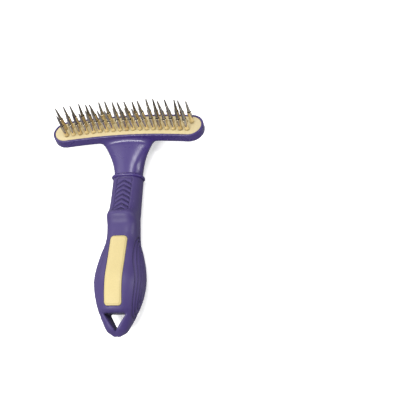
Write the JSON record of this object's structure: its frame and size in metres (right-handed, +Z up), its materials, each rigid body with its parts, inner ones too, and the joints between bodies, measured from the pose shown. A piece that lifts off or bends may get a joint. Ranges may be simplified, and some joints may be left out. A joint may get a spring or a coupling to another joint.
{
  "type": "undercoat rake",
  "caption": "T-shaped undercoat rake: a purple handle with a yellow inlay carries a wide head with two staggered rows of turned steel pins that spin in their plate.",
  "frame": {"origin": "middle of the bounding box in plan, on the surface the rake lies on", "axes": "+Z up, out of the pin side; +Y from the grip's end to the head; +X across, the plane of symmetry is X = 0"},
  "size_m": [0.1124, 0.1628, 0.0403],
  "materials": {
    "gloss_purple": "hard moulded plastic, glossy on the stem and collar, fine moulding grain",
    "soft_purple": "soft-touch rubber, satin, faint mould texture",
    "yellow_inlay": "pale yellow moulded plastic, satin",
    "yellow_plate": "pale yellow moulded plastic, semi-gloss",
    "strip_grey": "dark moulded plastic, hidden inside the head",
    "pin_steel": "turned and polished stainless steel"
  },
  "bodies": {
    "rake": {"chassis": "gloss_purple", "grip_sleeve": "soft_purple", "grip_inlay": "yellow_inlay", "pin_plate": "yellow_plate", "backing_strip": "strip_grey"},
    "pin_front_01_body": {"pin_front_01": "pin_steel"},
    "pin_front_02_body": {"pin_front_02": "pin_steel"},
    "pin_front_03_body": {"pin_front_03": "pin_steel"},
    "pin_front_04_body": {"pin_front_04": "pin_steel"},
    "pin_front_05_body": {"pin_front_05": "pin_steel"},
    "pin_front_06_body": {"pin_front_06": "pin_steel"},
    "pin_front_07_body": {"pin_front_07": "pin_steel"},
    "pin_front_08_body": {"pin_front_08": "pin_steel"},
    "pin_front_09_body": {"pin_front_09": "pin_steel"},
    "pin_front_10_body": {"pin_front_10": "pin_steel"},
    "pin_front_11_body": {"pin_front_11": "pin_steel"},
    "pin_front_12_body": {"pin_front_12": "pin_steel"},
    "pin_front_13_body": {"pin_front_13": "pin_steel"},
    "pin_front_14_body": {"pin_front_14": "pin_steel"},
    "pin_front_15_body": {"pin_front_15": "pin_steel"},
    "pin_front_16_body": {"pin_front_16": "pin_steel"},
    "pin_front_17_body": {"pin_front_17": "pin_steel"},
    "pin_front_18_body": {"pin_front_18": "pin_steel"},
    "pin_front_19_body": {"pin_front_19": "pin_steel"},
    "pin_rear_01_body": {"pin_rear_01": "pin_steel"},
    "pin_rear_02_body": {"pin_rear_02": "pin_steel"},
    "pin_rear_03_body": {"pin_rear_03": "pin_steel"},
    "pin_rear_04_body": {"pin_rear_04": "pin_steel"},
    "pin_rear_05_body": {"pin_rear_05": "pin_steel"},
    "pin_rear_06_body": {"pin_rear_06": "pin_steel"},
    "pin_rear_07_body": {"pin_rear_07": "pin_steel"},
    "pin_rear_08_body": {"pin_rear_08": "pin_steel"},
    "pin_rear_09_body": {"pin_rear_09": "pin_steel"},
    "pin_rear_10_body": {"pin_rear_10": "pin_steel"},
    "pin_rear_11_body": {"pin_rear_11": "pin_steel"},
    "pin_rear_12_body": {"pin_rear_12": "pin_steel"},
    "pin_rear_13_body": {"pin_rear_13": "pin_steel"},
    "pin_rear_14_body": {"pin_rear_14": "pin_steel"},
    "pin_rear_15_body": {"pin_rear_15": "pin_steel"},
    "pin_rear_16_body": {"pin_rear_16": "pin_steel"},
    "pin_rear_17_body": {"pin_rear_17": "pin_steel"},
    "pin_rear_18_body": {"pin_rear_18": "pin_steel"},
    "pin_rear_19_body": {"pin_rear_19": "pin_steel"},
    "pin_rear_20_body": {"pin_rear_20": "pin_steel"}
  },
  "joints": [
    {"name": "spin_front_01", "type": "hinge", "parent": "rake", "child": "pin_front_01_body", "pos_m": [-0.045, 0.06535, 0.02484], "axis": [0, 0.3867, 0.9222], "continuous": true},
    {"name": "spin_front_02", "type": "hinge", "parent": "rake", "child": "pin_front_02_body", "pos_m": [-0.04, 0.06589, 0.02461], "axis": [0, 0.3867, 0.9222], "continuous": true},
    {"name": "spin_front_03", "type": "hinge", "parent": "rake", "child": "pin_front_03_body", "pos_m": [-0.035, 0.06638, 0.02441], "axis": [0, 0.3867, 0.9222], "continuous": true},
    {"name": "spin_front_04", "type": "hinge", "parent": "rake", "child": "pin_front_04_body", "pos_m": [-0.03, 0.06679, 0.02423], "axis": [0, 0.3867, 0.9222], "continuous": true},
    {"name": "spin_front_05", "type": "hinge", "parent": "rake", "child": "pin_front_05_body", "pos_m": [-0.025, 0.06715, 0.02408], "axis": [0, 0.3867, 0.9222], "continuous": true},
    {"name": "spin_front_06", "type": "hinge", "parent": "rake", "child": "pin_front_06_body", "pos_m": [-0.02, 0.06744, 0.02396], "axis": [0, 0.3867, 0.9222], "continuous": true},
    {"name": "spin_front_07", "type": "hinge", "parent": "rake", "child": "pin_front_07_body", "pos_m": [-0.015, 0.06766, 0.02387], "axis": [0, 0.3867, 0.9222], "continuous": true},
    {"name": "spin_front_08", "type": "hinge", "parent": "rake", "child": "pin_front_08_body", "pos_m": [-0.01, 0.06782, 0.0238], "axis": [0, 0.3867, 0.9222], "continuous": true},
    {"name": "spin_front_09", "type": "hinge", "parent": "rake", "child": "pin_front_09_body", "pos_m": [-0.005, 0.06792, 0.02376], "axis": [0, 0.3867, 0.9222], "continuous": true},
    {"name": "spin_front_10", "type": "hinge", "parent": "rake", "child": "pin_front_10_body", "pos_m": [0, 0.06795, 0.02375], "axis": [0, 0.3867, 0.9222], "continuous": true},
    {"name": "spin_front_11", "type": "hinge", "parent": "rake", "child": "pin_front_11_body", "pos_m": [0.005, 0.06792, 0.02376], "axis": [0, 0.3867, 0.9222], "continuous": true},
    {"name": "spin_front_12", "type": "hinge", "parent": "rake", "child": "pin_front_12_body", "pos_m": [0.01, 0.06782, 0.0238], "axis": [0, 0.3867, 0.9222], "continuous": true},
    {"name": "spin_front_13", "type": "hinge", "parent": "rake", "child": "pin_front_13_body", "pos_m": [0.015, 0.06766, 0.02387], "axis": [0, 0.3867, 0.9222], "continuous": true},
    {"name": "spin_front_14", "type": "hinge", "parent": "rake", "child": "pin_front_14_body", "pos_m": [0.02, 0.06744, 0.02396], "axis": [0, 0.3867, 0.9222], "continuous": true},
    {"name": "spin_front_15", "type": "hinge", "parent": "rake", "child": "pin_front_15_body", "pos_m": [0.025, 0.06715, 0.02408], "axis": [0, 0.3867, 0.9222], "continuous": true},
    {"name": "spin_front_16", "type": "hinge", "parent": "rake", "child": "pin_front_16_body", "pos_m": [0.03, 0.06679, 0.02423], "axis": [0, 0.3867, 0.9222], "continuous": true},
    {"name": "spin_front_17", "type": "hinge", "parent": "rake", "child": "pin_front_17_body", "pos_m": [0.035, 0.06638, 0.02441], "axis": [0, 0.3867, 0.9222], "continuous": true},
    {"name": "spin_front_18", "type": "hinge", "parent": "rake", "child": "pin_front_18_body", "pos_m": [0.04, 0.06589, 0.02461], "axis": [0, 0.3867, 0.9222], "continuous": true},
    {"name": "spin_front_19", "type": "hinge", "parent": "rake", "child": "pin_front_19_body", "pos_m": [0.045, 0.06535, 0.02484], "axis": [0, 0.3867, 0.9222], "continuous": true},
    {"name": "spin_rear_01", "type": "hinge", "parent": "rake", "child": "pin_rear_01_body", "pos_m": [-0.0475, 0.07178, 0.02214], "axis": [0, 0.3867, 0.9222], "continuous": true},
    {"name": "spin_rear_02", "type": "hinge", "parent": "rake", "child": "pin_rear_02_body", "pos_m": [-0.0425, 0.07236, 0.0219], "axis": [0, 0.3867, 0.9222], "continuous": true},
    {"name": "spin_rear_03", "type": "hinge", "parent": "rake", "child": "pin_rear_03_body", "pos_m": [-0.0375, 0.07287, 0.02168], "axis": [0, 0.3867, 0.9222], "continuous": true},
    {"name": "spin_rear_04", "type": "hinge", "parent": "rake", "child": "pin_rear_04_body", "pos_m": [-0.0325, 0.07333, 0.02149], "axis": [0, 0.3867, 0.9222], "continuous": true},
    {"name": "spin_rear_05", "type": "hinge", "parent": "rake", "child": "pin_rear_05_body", "pos_m": [-0.0275, 0.07371, 0.02133], "axis": [0, 0.3867, 0.9222], "continuous": true},
    {"name": "spin_rear_06", "type": "hinge", "parent": "rake", "child": "pin_rear_06_body", "pos_m": [-0.0225, 0.07403, 0.0212], "axis": [0, 0.3867, 0.9222], "continuous": true},
    {"name": "spin_rear_07", "type": "hinge", "parent": "rake", "child": "pin_rear_07_body", "pos_m": [-0.0175, 0.07429, 0.02109], "axis": [0, 0.3867, 0.9222], "continuous": true},
    {"name": "spin_rear_08", "type": "hinge", "parent": "rake", "child": "pin_rear_08_body", "pos_m": [-0.0125, 0.07448, 0.02101], "axis": [0, 0.3867, 0.9222], "continuous": true},
    {"name": "spin_rear_09", "type": "hinge", "parent": "rake", "child": "pin_rear_09_body", "pos_m": [-0.0075, 0.07461, 0.02095], "axis": [0, 0.3867, 0.9222], "continuous": true},
    {"name": "spin_rear_10", "type": "hinge", "parent": "rake", "child": "pin_rear_10_body", "pos_m": [-0.0025, 0.07468, 0.02093], "axis": [0, 0.3867, 0.9222], "continuous": true},
    {"name": "spin_rear_11", "type": "hinge", "parent": "rake", "child": "pin_rear_11_body", "pos_m": [0.0025, 0.07468, 0.02093], "axis": [0, 0.3867, 0.9222], "continuous": true},
    {"name": "spin_rear_12", "type": "hinge", "parent": "rake", "child": "pin_rear_12_body", "pos_m": [0.0075, 0.07461, 0.02095], "axis": [0, 0.3867, 0.9222], "continuous": true},
    {"name": "spin_rear_13", "type": "hinge", "parent": "rake", "child": "pin_rear_13_body", "pos_m": [0.0125, 0.07448, 0.02101], "axis": [0, 0.3867, 0.9222], "continuous": true},
    {"name": "spin_rear_14", "type": "hinge", "parent": "rake", "child": "pin_rear_14_body", "pos_m": [0.0175, 0.07429, 0.02109], "axis": [0, 0.3867, 0.9222], "continuous": true},
    {"name": "spin_rear_15", "type": "hinge", "parent": "rake", "child": "pin_rear_15_body", "pos_m": [0.0225, 0.07403, 0.0212], "axis": [0, 0.3867, 0.9222], "continuous": true},
    {"name": "spin_rear_16", "type": "hinge", "parent": "rake", "child": "pin_rear_16_body", "pos_m": [0.0275, 0.07371, 0.02133], "axis": [0, 0.3867, 0.9222], "continuous": true},
    {"name": "spin_rear_17", "type": "hinge", "parent": "rake", "child": "pin_rear_17_body", "pos_m": [0.0325, 0.07333, 0.02149], "axis": [0, 0.3867, 0.9222], "continuous": true},
    {"name": "spin_rear_18", "type": "hinge", "parent": "rake", "child": "pin_rear_18_body", "pos_m": [0.0375, 0.07287, 0.02168], "axis": [0, 0.3867, 0.9222], "continuous": true},
    {"name": "spin_rear_19", "type": "hinge", "parent": "rake", "child": "pin_rear_19_body", "pos_m": [0.0425, 0.07236, 0.0219], "axis": [0, 0.3867, 0.9222], "continuous": true},
    {"name": "spin_rear_20", "type": "hinge", "parent": "rake", "child": "pin_rear_20_body", "pos_m": [0.0475, 0.07178, 0.02214], "axis": [0, 0.3867, 0.9222], "continuous": true}
  ]
}
